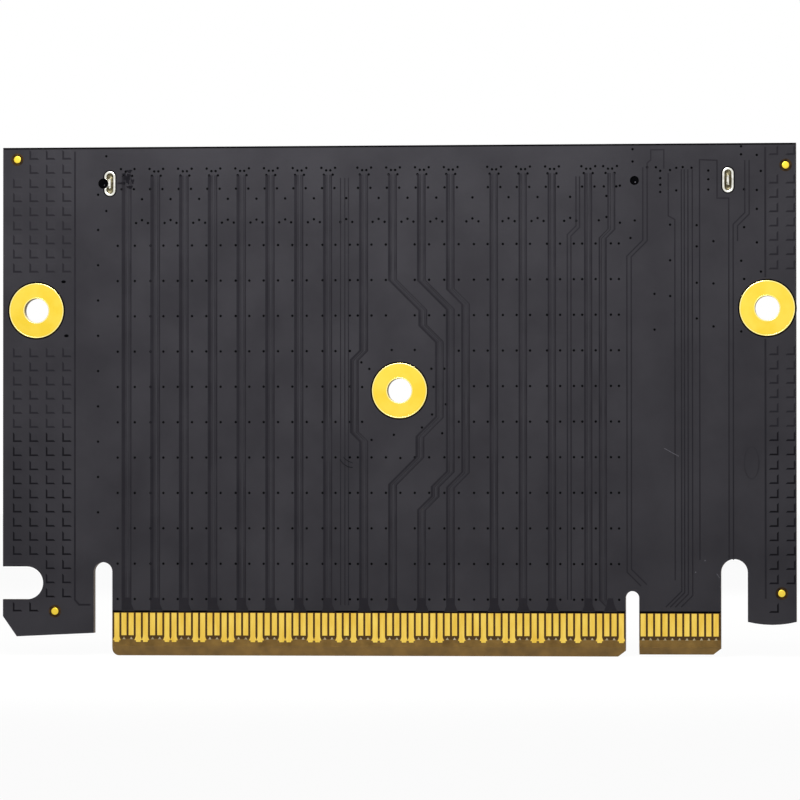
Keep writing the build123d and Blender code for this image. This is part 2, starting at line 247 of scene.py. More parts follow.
@dataclass(frozen=True)
class BoardFinish(Finish):
    """The laminate with its solder mask, which is left off round the fingers and on the cut edges."""

    resin: str = "#7A6032"
    bevel: str = "#7D6234"
    gap: str = "#3E2C12"
    edge: str = "#4A3B26"
    weave_mm: float = 1.5
    opening_top: float = 6.05
    band_top: float = 2.3
    bevel_top: float = 1.3
    mask_depth: float = 0.01

    def tone(self, tree: bpy.types.NodeTree, place: Socket) -> Socket:
        """Gives the mask's colour, and the resin's below the mask opening and on the cut edges.

        Args:
            tree: Node tree of the material.
            place: Coordinates to draw the mask's noise on, in metres.

        Returns:
            The colour's socket.
        """
        mask = super().tone(tree, place)
        coords = add_node(tree, "ShaderNodeTexCoord").outputs["Object"]
        axes = add_node(tree, "ShaderNodeSeparateXYZ", inputs={"Vector": coords}).outputs
        weave = noise(tree, coords, self.weave_mm, WEAVE_DETAIL)

        def under(value: Socket, limit_mm: float) -> Socket:
            """Gives 1 where a value in metres lies below a limit in millimetres."""
            return calculate(tree, "LESS_THAN", value, limit_mm * MM)

        def over(value: Socket, limit_mm: float) -> Socket:
            """Gives 1 where a value in metres lies above a limit in millimetres."""
            return calculate(tree, "GREATER_THAN", value, limit_mm * MM)

        resin = blend(tree, weave, linear(self.resin), linear(self.gap))
        resin = blend(tree, under(axes["Z"], self.band_top), linear(self.gap), resin)
        bevel = blend(tree, weave, linear(self.bevel), linear(self.edge))
        bare = blend(tree, under(axes["Z"], self.bevel_top), resin, bevel)
        in_tab = calculate(tree, "MULTIPLY", over(axes["X"], TAB_LEFT), under(axes["X"], TAB_RIGHT))
        in_opening = calculate(tree, "MULTIPLY", in_tab, under(axes["Z"], self.opening_top))
        opened = blend(tree, in_opening, mask, bare)
        cut = under(calculate(tree, "ABSOLUTE", axes["Y"]), HALF_BOARD - self.mask_depth)
        edge_only = calculate(tree, "MULTIPLY", cut, over(axes["Z"], self.bevel_top))
        return blend(tree, edge_only, opened, linear(self.edge))


# Black epoxy solder mask, screened over copper: a satin grey-black that drifts a little in tone
MASK = Finish(
    "black_solder_mask", "solder_mask", "#222125", "#29282C", 0.5,
    specular=0.1, patch_mm=9, grain_mm=0.5, relief_mm=0.0015,
)
# The same mask, darker and duller as painted shade: in the grooves between the copper, along outlines and on
# walls facing away from the light
GROOVE_SHADE_MASK = Finish(
    "painted_groove_shade_mask", "solder_mask", "#19181C", "#1D1C20", 0.6,
    specular=0.05, patch_mm=4,
)
# Nearly black painted shade on the walls of the lower squares that face away from the light
DEEP_SHADE_MASK = Finish(
    "painted_deep_shade_mask", "solder_mask", "#0E0D10", "#131216", 0.7,
    specular=0.03, patch_mm=3,
)
# Mask over the runs, darker than the rest as painted shade; the oval rub mark at the right uses it too
RUN_SHADE_AND_RUB_MASK = Finish(
    "painted_run_shade_and_rub_mask", "solder_mask", "#1E1D21", "#242327", 0.55,
    specular=0.09, patch_mm=4,
)
# Near-black painted shade: in the tented vias' dimples and the peg holes, and in thin lines round the rings,
# dots and locks and along mask edges
NEAR_BLACK_SHADE = Finish("painted_near_black_shade", "solder_mask", "#040405", "#070708", 0.8, specular=0.0, patch_mm=2)
# Laminate under mask: woven glass in brown epoxy shows where the mask is left off
BOARD_FINISH = BoardFinish(**{**vars(MASK), "name": "masked_glass_laminate"})
# Immersion gold over nickel: a warm, clean yellow with a soft sheen
GOLD = Finish(
    "immersion_gold", "gold_plating", "#E2C23C", "#E8CA4C", 0.38,
    metallic=1.0, patch_mm=2.5, grain_mm=0.12, relief_mm=0.001,
)
# Hard gold on the fingers, a little deeper in tone and faintly brushed along their length
FINGER_GOLD = Finish(
    "hard_gold_fingers", "gold_plating", "#E0B848", "#ECCB60", 0.36,
    metallic=1.0, patch_mm=0.8, grain_mm=0.1, relief_mm=0.001, stretch=(1, 1, 0.2),
)
# Rounded edge of the gold, painted paler as a highlight where it catches more light
GOLD_EDGE = Finish(
    "gold_edge_painted_highlight", "gold_plating", "#FFF09A", "#FFF3B0", 0.25,
    metallic=1.0, patch_mm=2,
)
# Resin bared in the clearing round a dot: dark brown and dull
CLEARING = Finish(
    "bared_resin_clearing", "solder_mask", "#3A2A14", "#1E150A", 0.7,
    specular=0.05, patch_mm=0.5,
)
# Cut end of the plating bar, dull and pale beside the gold
BAR_END = Finish(
    "sheared_plating_bar", "gold_plating", "#B0A488", "#8C7E5E", 0.4,
    metallic=1.0, patch_mm=0.3,
)
# Gold on the wall of the drilled barrel, rough from the drill and in shade
BARREL_GOLD = Finish(
    "drilled_barrel_gold", "gold_plating", "#6B5A2A", "#57471F", 0.55,
    metallic=1.0, patch_mm=0.6, grain_mm=0.1, relief_mm=0.004,
)
# Black glass-filled nylon, moulded: matt, with a fine speckle
NYLON = Finish(
    "moulded_glass_filled_nylon", "moulded_plastic", "#1B1B1D", "#212124", 0.6,
    patch_mm=1.5, grain_mm=0.15, relief_mm=0.006,
)
# Phosphor bronze strip with flash gold, stamped
BRONZE = Finish("flash_gold_bronze", "contact_alloy", "#DDBB66", "#E8CD85", 0.3, metallic=1.0, patch_mm=0.8)
# Stamped strip with matt tin, slightly grey
TINNED = Finish(
    "matt_tinned_stamping", "tinned_steel", "#B9B7AE", "#CFCDC6", 0.35,
    metallic=1.0, patch_mm=0.6, grain_mm=0.1, relief_mm=0.003,
)
# Tin that flowed and set: bright, with soft dents
BRIGHT_TIN = Finish(
    "reflowed_bright_tin", "tin_plating", "#F4F3EC", "#DAD8CD", 0.2,
    metallic=1.0, patch_mm=0.5, grain_mm=0.4, relief_mm=0.01,
)
# Solder under flux residue: dull olive-grey with brown stains
FLUXED_SOLDER = Finish(
    "fluxed_solder", "solder", "#6E684E", "#3C3423", 0.4,
    metallic=0.7, patch_mm=0.35, grain_mm=0.3, relief_mm=0.03,
)
# Fired barium titanate of a chip capacitor: even brown, like fine earthenware
CERAMIC = Finish(
    "fired_capacitor_ceramic", "ceramic", "#8A6A4A", "#7C5D40", 0.45,
    patch_mm=0.6, grain_mm=0.1, relief_mm=0.003,
)
# Grime rubbed into the mask: a dull dark film
GRIME = Finish("rubbed_grime", "solder_mask", "#101013", "#17161A", 0.8, specular=0.02, patch_mm=0.5)
# Bared mask dust along a scratch: a faint grey; the same grey is the painted highlight on the peg ends
SCUFF_AND_HIGHLIGHT = Finish("scuffed_mask_and_painted_highlight", "solder_mask", "#55545A", "#45444A", 0.7, specular=0.1, patch_mm=0.4)


class Side(Enum):
    """Face of the board, as the sign of its Y."""

    REAR = -1
    FRONT = 1


class End(Enum):
    """How a stepped shape ends at its last outline."""

    OPEN = "open"
    CAPPED = "capped"
    JOINED = "joined to its first outline"


# Least share of a strip's width that a sharp corner keeps
MITRE_LIMIT = 0.3


def oval_outline(x: float, z: float, half_wide: float, half_tall: float, sides: int) -> list[Point]:
    """Gives the corners of an oval."""
    turns = [2 * math.pi * step / sides for step in range(sides)]
    return [(x + half_wide * math.cos(turn), z + half_tall * math.sin(turn)) for turn in turns]


def round_outline(x: float, z: float, radius: float, sides: int = 12) -> list[Point]:
    """Gives the corners of a circle."""
    return oval_outline(x, z, radius, radius, sides)


def oblong_outline(
    x: float, z: float, length: float, width: float, steps: int = 12, splits: int = 1
) -> list[Point]:
    """Gives the corners of an upright slot with round ends.

    Args:
        x: X of its middle.
        z: Z of its middle.
        length: Its whole height.
        width: Its whole width.
        steps: Steps of each round end.
        splits: Parts of each straight side.

    Returns:
        The corners.
    """
    radius = width / 2
    reach = length / 2 - radius
    turns = [math.pi * step / steps for step in range(steps + 1)]
    upper = [(radius * math.cos(turn), reach + radius * math.sin(turn)) for turn in turns]
    half = upper + [(-radius, reach - 2 * reach * step / splits) for step in range(1, splits)]
    return [(x + a, z + b) for a, b in half] + [(x - a, z - b) for a, b in half]


def ragged_outline(x: float, z: float, wide: float, tall: float, sides: int = 24) -> list[Point]:
    """Gives the corners of an oval whose edge wanders in and out by about a quarter."""
    turns = [2 * math.pi * step / sides for step in range(sides)]
    reach = [0.5 + 0.13 * math.sin(3 * turn + x) + 0.09 * math.sin(7 * turn + z) for turn in turns]
    return [(x + wide * r * math.cos(turn), z + tall * r * math.sin(turn)) for turn, r in zip(turns, reach)]


def tapered_outline(x: float, low: float, high: float, low_half: float, high_half: float) -> list[Point]:
    """Gives the corners of an upright shape from the half widths of its ends."""
    return [(x - low_half, low), (x + low_half, low), (x + high_half, high), (x - high_half, high)]


def box_outline(x: float, z: float, width: float, height: float) -> list[Point]:
    """Gives the corners of an upright rectangle about its middle."""
    return tapered_outline(x, z - height / 2, z + height / 2, width / 2, width / 2)


def beside(path: list[Point], reach: float) -> list[Point]:
    """Gives a path moved sideways by reach, mitred at its corners.

    Args:
        path: Points of the path.
        reach: How far it is moved, to the left of its direction.

    Returns:
        The moved points.
    """
    line = [Vector(point) for point in path]
    runs = [(b - a).normalized() for a, b in zip(line, line[1:])]
    moved: list[Point] = []
    for i, point in enumerate(line):
        before = runs[max(i - 1, 0)]
        after = runs[min(i, len(runs) - 1)]
        across = Vector((-(before + after).y, (before + after).x)).normalized()
        share = max(MITRE_LIMIT, across.dot(Vector((-after.y, after.x))))
        moved.append(tuple(point + across * reach / share))
    return moved


@dataclass
class Relief:
    """Low shapes on one face of the board, drawn by X and Z in millimetres and a height above the face."""

    side: Side
    mesh: bmesh.types.BMesh = field(default_factory=bmesh.new)

    def loop(self, outline: list[Point], height: float) -> Loop:
        """Adds the corners of an outline at one height."""
        y = self.side.value * (HALF_BOARD + height)
        return [self.mesh.verts.new(Vector((x, y, z)) * MM) for x, z in outline]

    def cap(self, loop: Loop, finish: int = 0) -> None:
        """Closes a loop with one face."""
        self.mesh.faces.new(loop).material_index = finish

    def wall(self, low: Loop, high: Loop, finish: int = 0) -> list[bmesh.types.BMFace]:
        """Joins two loops of equal length with a wall.

        Args:
            low: The first loop.
            high: The second loop.
            finish: Number of the wall's finish.

        Returns:
            The wall's faces, in the loops' order.
        """
        faces = []
        for i in range(len(low)):
            j = (i + 1) % len(low)
            face = self.mesh.faces.new((low[i], low[j], high[j], high[i]))
            face.material_index = finish
            faces.append(face)
        return faces

    def sheet(self, outline: list[Point], height: float, finish: int = 0) -> None:
        """Adds a flat shape at a height."""
        self.cap(self.loop(outline, height), finish)

    def rings(self, stages: list[Stage], end: End = End.CAPPED) -> None:
        """Adds a stepped or domed shape from its outlines.

        Args:
            stages: Outline, height and finish of each stage, outermost first.
            end: What follows the last outline.
        """
        first = self.loop(stages[0][0], stages[0][1])
        last = first
        for outline, height, finish in stages[1:]:
            after = self.loop(outline, height)
            self.wall(last, after, finish)
            last = after
        if end is End.CAPPED:
            self.cap(last, stages[-1][2])
        elif end is End.JOINED:
            self.wall(last, first, stages[0][2])

    def turned(
        self, middle: Point, profile: list[Point], sides: int, finish: int = 0, end: End = End.CAPPED
    ) -> None:
        """Adds a round shape.

        Args:
            middle: X and Z of its middle.
            profile: Radius and height of each stage, outermost first.
            sides: Sides of its outline.
            finish: Number of its finish.
            end: What follows the last stage.
        """
        outlines = [(round_outline(*middle, radius, sides), height, finish) for radius, height in profile]
        self.rings(outlines, end)

    def strip(self, path: list[Point], section: list[Point], finish: int = 0) -> None:
        """Adds a strip along a path.

        Args:
            path: Points of its middle line.
            section: Distance to the side and height of each of its edges, from one side to the other.
            finish: Number of its finish.
        """
        edges = [self.loop(beside(path, reach), height) for reach, height in section]
        for one, other in zip(edges, edges[1:]):
            for i in range(len(path) - 1):
                self.mesh.faces.new((one[i], one[i + 1], other[i + 1], other[i])).material_index = finish

    def ribbon(self, path: list[Point], width: float, height: float, finish: int = 0) -> None:
        """Adds a flat strip of one width along a path."""
        self.strip(path, [(width / 2, height), (-width / 2, height)], finish)

    def finish_piece(
        self, name: str, finishes: list[Finish], smooth: bool = False
    ) -> bpy.types.Object:
        """Turns what was drawn into a piece that rides on the card.

        Args:
            name: Name of the piece.
            finishes: Its finishes, in the order of their numbers.
            smooth: Whether its faces shade as one curved surface.

        Returns:
            The piece.
        """
        for face in self.mesh.faces:
            face.normal_update()
            if face.normal.y * self.side.value < 0:
                face.normal_flip()
            face.smooth = smooth
        data = bpy.data.meshes.new(name)
        self.mesh.to_mesh(data)
        self.mesh.free()
        for finish in finishes:
            data.materials.append(finish.material())
        piece = bpy.data.objects.new(name, data)
        bpy.context.scene.collection.objects.link(piece)
        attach(piece, BODY)
        log.info("%s: %d faces", name, len(data.polygons))
        return piece


@dataclass
class Camera:
    """The view of the photograph: a long lens from in front of the fingers, a little to the right."""

    lens_mm: float = 260.8
    sensor_mm: float = 36.0
    near_metres: float = 0.01
    far_metres: float = 50.0
    place_mm: Place = (52.51, -795.42, 23.47)
    yaw_deg: float = 6.074
    pitch_deg: float = 0.848
    roll_deg: float = -0.025

    def build(self) -> None:
        """Makes the camera and hands it to the scene."""
        data = bpy.data.cameras.new("photograph_view")
        data.lens = self.lens_mm
        data.sensor_width = self.sensor_mm
        data.clip_start = self.near_metres
        data.clip_end = self.far_metres
        camera = bpy.data.objects.new("photograph_view", data)
        turn = (
            Matrix.Rotation(math.radians(self.yaw_deg), 4, "Z")
            @ Matrix.Rotation(math.radians(90 + self.pitch_deg), 4, "X")
            @ Matrix.Rotation(math.radians(self.roll_deg), 4, "Z")
        )
        camera.matrix_world = Matrix.Translation(Vector(self.place_mm) * MM) @ turn
        bpy.context.scene.collection.objects.link(camera)
        bpy.context.scene.camera = camera


@dataclass
class Studio:
    """A pale floor, a white surround and soft lamps."""

    ambient: float = 0.22
    key_watts: float = 0.5
    key_place: Place = (-46, -110, 157)
    key_aim: Place = (-43, 0, 50)
    key_size: float = 90
    fill_watts: float = 1.2
    fill_place: Place = (30, 400, 260)
    fill_aim: Place = (-30, 0, 35)
    fill_size: float = 250
    floor_metres: float = 8.0
    floor_drop: float = 0.02
    floor_glow: float = 0.95

    def surround(self) -> None:
        """Lights the card evenly, and shows white to the camera, to gloss and through glass."""
        world = bpy.data.worlds.new("white_surround")
        world.use_nodes = True
        bpy.context.scene.world = world
        tree = world.node_tree
        tree.nodes.clear()
        rays = add_node(tree, "ShaderNodeLightPath").outputs
        seen = calculate(tree, "MAXIMUM", rays["Is Camera Ray"], rays["Is Glossy Ray"])
        seen = calculate(tree, "MAXIMUM", seen, rays["Is Transmission Ray"])
        level_inputs = {"Value": seen, "To Min": self.ambient, "To Max": 1.0}
        level = add_node(tree, "ShaderNodeMapRange", inputs=level_inputs)
        light_inputs = {"Color": (1, 1, 1, 1), "Strength": level.outputs["Result"]}
        light = add_node(tree, "ShaderNodeBackground", inputs=light_inputs)
        add_node(tree, "ShaderNodeOutputWorld", inputs={"Surface": light.outputs["Background"]})

    def paper(self) -> bpy.types.Material:
        """Gives the floor's paper: white where the camera sees it, and lit by the lamps elsewhere."""
        made = bpy.data.materials.new("white_paper_floor")
        made.use_nodes = True
        tree = made.node_tree
        tree.nodes.clear()
        rays = add_node(tree, "ShaderNodeLightPath").outputs
        seen = calculate(tree, "MAXIMUM", rays["Is Camera Ray"], rays["Is Glossy Ray"])
        share = calculate(tree, "MULTIPLY", seen, self.floor_glow)
        paper = add_node(tree, "ShaderNodeBsdfDiffuse", inputs={"Color": linear("#F2F2F0")})
        white = add_node(tree, "ShaderNodeEmission", inputs={"Color": (1, 1, 1, 1), "Strength": 1.0})
        parts = {0: share, 1: paper.outputs["BSDF"], 2: white.outputs["Emission"]}
        mix = add_node(tree, "ShaderNodeMixShader", inputs=parts)
        add_node(tree, "ShaderNodeOutputMaterial", inputs={"Surface": mix.outputs["Shader"]})
        return made

    def floor(self) -> None:
        """Lays the floor, which keeps the card's own soft shadow."""
        half = self.floor_metres / 2
        corners = [(-half, -half, 0), (half, -half, 0), (half, half, 0), (-half, half, 0)]
        data = bpy.data.meshes.new("studio_floor")
        data.from_pydata(corners, [], [(0, 1, 2, 3)])
        data.materials.append(self.paper())
        floor = bpy.data.objects.new("studio_floor", data)
        floor.location.z = -self.floor_drop * MM
        bpy.context.scene.collection.objects.link(floor)

    def lamp(self, name: str, place_mm: Place, aim_mm: Place, size_mm: float, watts: float) -> None:
        """Hangs one soft lamp.

        Args:
            name: Name of the lamp.
            place_mm: Where it hangs.
            aim_mm: What it points at.
            size_mm: Side of its square face.
            watts: Its power.
        """
        data = bpy.data.lights.new(name, "AREA")
        data.size = size_mm * MM
        data.energy = watts
        lamp = bpy.data.objects.new(name, data)
        lamp.location = Vector(place_mm) * MM
        lamp.rotation_euler = (Vector(aim_mm) - Vector(place_mm)).to_track_quat("-Z", "Y").to_euler()
        lamp.visible_camera = False
        bpy.context.scene.collection.objects.link(lamp)

    def build(self) -> None:
        """Sets up the whole studio."""
        self.surround()
        self.floor()
        self.lamp("soft_key_above_rear", self.key_place, self.key_aim, self.key_size, self.key_watts)
        self.lamp("soft_fill_on_slot_side", self.fill_place, self.fill_aim, self.fill_size, self.fill_watts)


@dataclass
class MaskRelief:
    """What the solder mask shows of the copper under it: soft ridges over the runs, and painted shade in the
    channels, along outlines and in the tented vias.
    """

    channel_height: float = 0.004
    line_width: float = 0.22
    wide_channel: float = 0.5
    widest_from: float = 70.0
    channel_reach: float = 0.35
    right_shift: float = 0.44
    right_width: float = 0.18
    mouth_half: float = 0.95
    mouth_steps: tuple[Point, ...] = ((0.5, 7.2), (0.35, 8.0))
    mouth_height: float = 0.042
    opening_gap: float = 0.2
    opening_width: float = 0.26
    opening_height: float = 0.006
    pour_width: float = 0.25
    pour_top_gap: float = 0.55
    left_pour_edge: float = -77.4
    right_pour_edge: float = 18.3
    fine_lines: tuple[float, ...] = (-40.3, -39.7, -39.2)
    fine_width: float = 0.14
    side_run_width: float = 0.17
    run_shift: float = 0.25
    # Distance to the side and height of the soft ridge that a run makes under the mask
    run_section: tuple[Point, ...] = ((0.14, 0.0), (0.08, 0.032), (0.0, 0.04), (-0.08, 0.032), (-0.14, 0.0))
    # Radius and height of a via's rim and of its sunken middle
    via_profile: tuple[Point, ...] = ((0.17, 0.008), (0.0935, 0.002))
    via_sides: int = 12
    via_pitch: float = 4.895
    top_row: float = 56.76
    rows: int = 11
    left_column: float = -74.15
    left_top: float = 63.87
    left_rows: int = 10
    columns: tuple[float, ...] = (
        -71.4, -69, -66.8, -65, -63, -61, -59, -57, -54.9, -53, -51, -49, -47, -45, -42.8, -41, -39, -37.9,
        -36, -34, -30, -28, -25.9, -23.9, -21.8, -19.9, -17.8, -15.9, -14.05, -11.7, -9.9, -8, -6.85, -5,
        -2.9, -1.8,
    )
    clear_width: float = 6.5
    clear_height: float = 7.0
    centre_vias: tuple[Point, ...] = (
        (-33.2, 42.2), (-30, 42.2), (-37.4, 40.5), (-36.3, 39.6), (-27.7, 39.6), (-25.9, 39.6), (-27.4, 37.1),
        (-37.3, 37.1), (-37.3, 32.3), (-25.7, 34.7), (-27.6, 33.3), (-29, 31.5), (-26.2, 30.7), (-32.9, 30.5),
        (-36, 29.8), (-32, 27.3), (-32, 22.5),
    )
    # Vias at both sides of each pair's middle line, and between neighbouring pairs
    pair_vias: tuple[Point, ...] = ((0.95, 67.4), (0.29, 67.05), (0.62, 66.45), (0.86, 64.6))
    ground_vias: tuple[Point, ...] = ((0.0, 63.2), (0.0, 60.3), (-0.83, 59.9), (0.83, 59.9))
    lone_via: Point = (-4.55, 59.95)
    wide_vias: tuple[Point, ...] = ((-79, 51.8), (-78.6, 44.3))
    wide_via_reach: Point = (0.32, 0.2)

    def run(self, pair: int, shift: float) -> list[Point]:
        """Gives the path of a pair's middle line, moved sideways by a shift."""
        x = contact_x(pair + 0.5) + shift
        path = [(x, FINGER_TOP + 0.3)]
        for height, step in DETOURS.get(pair, []):
            path.append((x, height))
            x += step
            path.append((x, height + abs(step)))
        path.append((x, RUN_TOP))
        return path

    def mouth(self, x: float) -> list[Point]:
        """Gives the outline of the painted shade between a pair's fingers and its runs."""
        right = [(x + self.mouth_half, FINGER_TOP + self.opening_gap)]
        right += [(x + half, height) for half, height in self.mouth_steps]
        return right + [(2 * x - a, b) for a, b in reversed(right)]

    def channels(self) -> bpy.types.Object:
        """Draws painted shade as dark mask beside each pair, widest at the left and opening above the fingers,
        with dark lines along the mask's edges.
        """
        relief = Relief(Side.REAR)
        for pair in REAR_PAIRS:
            x = contact_x(pair + 0.5)
            # The painted shade beside each pair widens towards the left
            share = min(1.0, max(0.0, -x / self.widest_from))
            width = self.line_width + (self.wide_channel - self.line_width) * share
            relief.ribbon(self.run(pair, -self.channel_reach - width / 2), width, self.channel_height)
            relief.ribbon(self.run(pair, self.right_shift), self.right_width, self.channel_height)
            relief.sheet(self.mouth(x), self.mouth_height)
        low = FINGER_TOP + self.opening_gap
        # Near-black painted shade along the mask's edge above the fingers
        for start, end in ((TAB_LEFT, -KEY_HALF), (KEY_HALF, TAB_RIGHT)):
            relief.ribbon([(start, low), (end, low)], self.opening_width, self.opening_height, 1)
        # Painted shade as dark lines along the copper pour's edges and along the fine lines
        left, right, high = self.left_pour_edge, self.right_pour_edge, BOARD_TOP - self.pour_top_gap
        pour_edges: list[list[Point]] = [
            [(left + 2.2, 7.0), (left + 0.6, 7.0), (left, 7.7), (left, high)],
            [(right, 8.0), (right, 43.6)],
            [(right, 52.0), (right, high)],
        ]
        for path in pour_edges:
            relief.ribbon(path, self.pour_width, self.channel_height)
        for x in self.fine_lines:
            relief.ribbon([(x, 7.0), (x, 66.0)], self.fine_width, self.channel_height)
        # Near-black painted shade along the board's top edge
        top_edge: list[Point] = [(BOARD_LEFT + 0.1, BOARD_TOP - 0.14), (BOARD_RIGHT - 0.1, BOARD_TOP - 0.14)]
        relief.ribbon(top_edge, 0.2, self.channel_height, 1)
        return relief.finish_piece("rear_mask_channels", [GROOVE_SHADE_MASK, NEAR_BLACK_SHADE])

    def side_runs(self) -> bpy.types.Object:
        """Draws the slower runs at the right, each outlined on both sides by painted shade."""
        relief = Relief(Side.REAR)
        low = 9.0
        runs: list[list[Point]] = [
            [(-7.7, 66.0), (-7.7, 59.2), (-8.9, 58.0), (-8.9, 7.8)],
            [(-7.2, 66.0), (-7.2, 59.0), (-8.4, 57.8), (-8.4, 7.8)],
            [(1.5, 67.2), (1.5, 57.2), (-0.7, 55.0), (-0.7, 11.6), (1.2, 9.7)],
            [(2.1, 67.8), (2.1, 57.1), (-0.1, 54.9), (-0.1, 12.0), (2.0, 9.9)],
            [(2.1, 67.8), (2.6, 68.2), (2.6, 69.6), (4.4, 69.6), (4.4, 67.0)],
            [(5.0, 66.4), (5.0, 60.5), (5.9, 60.0), (5.9, 10.5)],
            [(6.8, 66.9), (6.8, low), (4.6, low - 2.2)],
            [(7.2, 66.9), (7.2, low - 0.2), (5.2, low - 2.2)],
            [(7.7, 66.9), (7.7, low - 0.4), (5.9, low - 2.2)],
            [(8.3, 66.9), (8.3, low - 0.6), (6.7, low - 2.2)],
            [(9.3, 13.3), (9.3, 68.2), (11.7, 68.1), (11.7, 62.9), (13.3, 62.9), (13.3, 13.3)],
            [(15.5, 68.1), (15.5, 60.9), (13.9, 59.3), (13.9, 13.3)],
            [(16.1, 68.1), (16.1, 60.7), (14.5, 59.1), (14.5, 57.0)],
        ]
        for path in runs:
            relief.ribbon(path, self.side_run_width, self.channel_height)
        return relief.finish_piece("rear_side_run_outlines", [GROOVE_SHADE_MASK])

    def copper_runs(self) -> None:
        """Builds the pairs' copper as soft ridges under the mask, darkened with painted shade, in place of the
        plain runs.
        """
        relief = Relief(Side.REAR)
        for pair in REAR_PAIRS:
            for shift in (-self.run_shift, self.run_shift):
                relief.strip(self.run(pair, shift), self.run_section)
        piece = relief.finish_piece("rear_masked_copper_runs", [RUN_SHADE_AND_RUB_MASK], smooth=True)
        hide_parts("rear_signal_traces")

    def via_places(self) -> list[Point]:
        """Gives every via: a grid, a group at the top of each pair, and the power vias at the right."""
        places: list[Point] = []
        for row in range(self.rows):
            z = self.top_row - row * self.via_pitch
            for x in self.columns:
                beside_hole = abs(x - CENTRE_HOLE[0]) > self.clear_width
                if beside_hole or abs(z - CENTRE_HOLE[1]) > self.clear_height:
                    places.append((x, z))
        places += self.centre_vias
        places += [(self.left_column, self.left_top - row * self.via_pitch) for row in range(self.left_rows)]
        middles = [contact_x(pair + 0.5) for pair in REAR_PAIRS]
        for x in middles:
            for reach, z in self.pair_vias:
                places += [(x - reach, z), (x + reach, z)]
        places.append(self.lone_via)
        for right, left in zip(middles[1:], middles[2:]):
            places += [((right + left) / 2 + shift, z) for shift, z in self.ground_vias]
        power_columns: dict[float, tuple[float, ...]] = {
            0.1: (69.7, 68.0),
            -1.65: (64.7, 59.6),
            -3.5: (63.3, 60.4),
            0.4: (59.9,),
            -0.2: (57.5,),
            2.1: (67.2,),
            3.3: (67.2,),
            3.9: (66.7, 65.7, 64.8, 63.8),
            5.25: (66.8, 59.3, 54.4, 49.5),
            6.1: (67.1, 64.0),
            7.0: (67.2,),
            8.2: (67.1,),
            10.5: (66.7, 65.5, 64.1),
            8.9: (59.2, 56.3, 51.3, 46.4),
            11.2: (57.0, 51.2, 45.3),
            3.1: (49.8, 44.9),
            15.0: (70.0, 68.9, 54.3, 44.6),
            17.15: (68.8, 64.0, 61.4, 56.8),
            15.4: (64.1, 58.9, 51.8),
            17.7: (66.6, 52.8),
            -73.0: (69.2, 61.6),
        }
        for x, heights in power_columns.items():
            places += [(x, z) for z in heights]
        return places

    def vias(self, side: Side) -> bpy.types.Object:
        """Draws the tented vias of one face as dimples painted near-black as shade, and the two wide ones as
        ovals.
        """
        relief = Relief(side)
        for place in self.via_places():
            relief.turned(place, self.via_profile, self.via_sides)
        for x, z in self.wide_vias:
            relief.sheet(oval_outline(x, z, *self.wide_via_reach, 16), self.via_profile[0][1])
        return relief.finish_piece(f"{side.name.lower()}_tented_vias", [NEAR_BLACK_SHADE])

    def build(self) -> None:
        """Builds the mask's relief on both faces."""
        self.channels()
        self.copper_runs()
        self.side_runs()
        self.vias(Side.REAR)
        self.vias(Side.FRONT)


@dataclass
class CopperSquares:
    """Thieving squares in the side margins, which even out the plating."""

    size: float = 1.35
    slope: float = 0.24
    foot_height: float = 0.003
    height: float = 0.012
    row_pitch: float = 1.96
    column_pitch: float = 2.31
    top_row: float = 69.45
    rows: int = 33
    left_columns: int = 4
    left_x: float = -85.43
    right_x: float = 19.41
    keep_out: float = 4.6
    edge_gap: float = 0.1
    dot_gap: float = 1.85
    hook_right: float = -81.9
    hook_low: float = 7.6
    hook_high: float = 12.6
    left_low: float = 3.1
    corner_right: float = -85.6
    corner_low: float = 4.6
    right_low: float = 5.6
    # Squares below this height get the nearly black painted shade on their walls
    deeper_shade_below: float = 31.0

    def free(self, x: float, z: float) -> bool:
        """Tells whether a square fits at a place, clear of holes, dots, notches and edges.

        Args:
            x: X of the square's middle.
            z: Z of the square's middle.

        Returns:
            Whether it fits.
        """
        reach = self.size / 2 + self.edge_gap
        left, right, low, high = x - reach, x + reach, z - reach, z + reach
        beside_hole = abs(z - SIDE_HOLE_HEIGHT) < self.keep_out
        at_dot = any(math.hypot(x - a, z - b) < self.dot_gap for a, b in DOTS)
        if left <= BOARD_LEFT or right >= BOARD_RIGHT or beside_hole or at_dot:
            return False
        if x > 0:
            return low > self.right_low
        at_hook = low < self.hook_high and high > self.hook_low and left < self.hook_right
        at_corner = low < self.corner_low and left < self.corner_right
        return not (at_hook or at_corner or low < self.left_low)

    def places(self) -> list[Point]:
        """Gives the middle of each square. The last row has none in the outer right column."""
        outer_right = self.right_x + self.column_pitch
        columns = [self.left_x + i * self.column_pitch for i in range(self.left_columns)]
        columns += [self.right_x, outer_right]
        spots: list[Point] = []
        for row in range(self.rows):
            z = self.top_row - row * self.row_pitch
            last = row == self.rows - 1
            spots += [(x, z) for x in columns if self.free(x, z) and not (last and x == outer_right)]
        return spots

    def build(self) -> None:
        """Raises the squares, each with a plain crest and painted shade on the walls that face down and
        outward, away from the light, darker on the lower rows.
        """
        relief = Relief(Side.REAR)
        crest_size = self.size - 2 * self.slope
        for x, z in self.places():
            foot = relief.loop(box_outline(x, z, self.size, self.size), self.foot_height)
            crest = relief.loop(box_outline(x, z, crest_size, crest_size), self.height)
            below, right, _, left = relief.wall(foot, crest, 0)
            # Painted shade: the lower and outer walls face away from the light, and the lower rows get the
            # nearly black shade
            shade_finish = 2 if z < self.deeper_shade_below else 1
            below.material_index = shade_finish
            outer = left if x < 0 else right
            outer.material_index = shade_finish
            relief.cap(crest)
        relief.finish_piece("rear_thieving_squares", [MASK, GROOVE_SHADE_MASK, DEEP_SHADE_MASK])


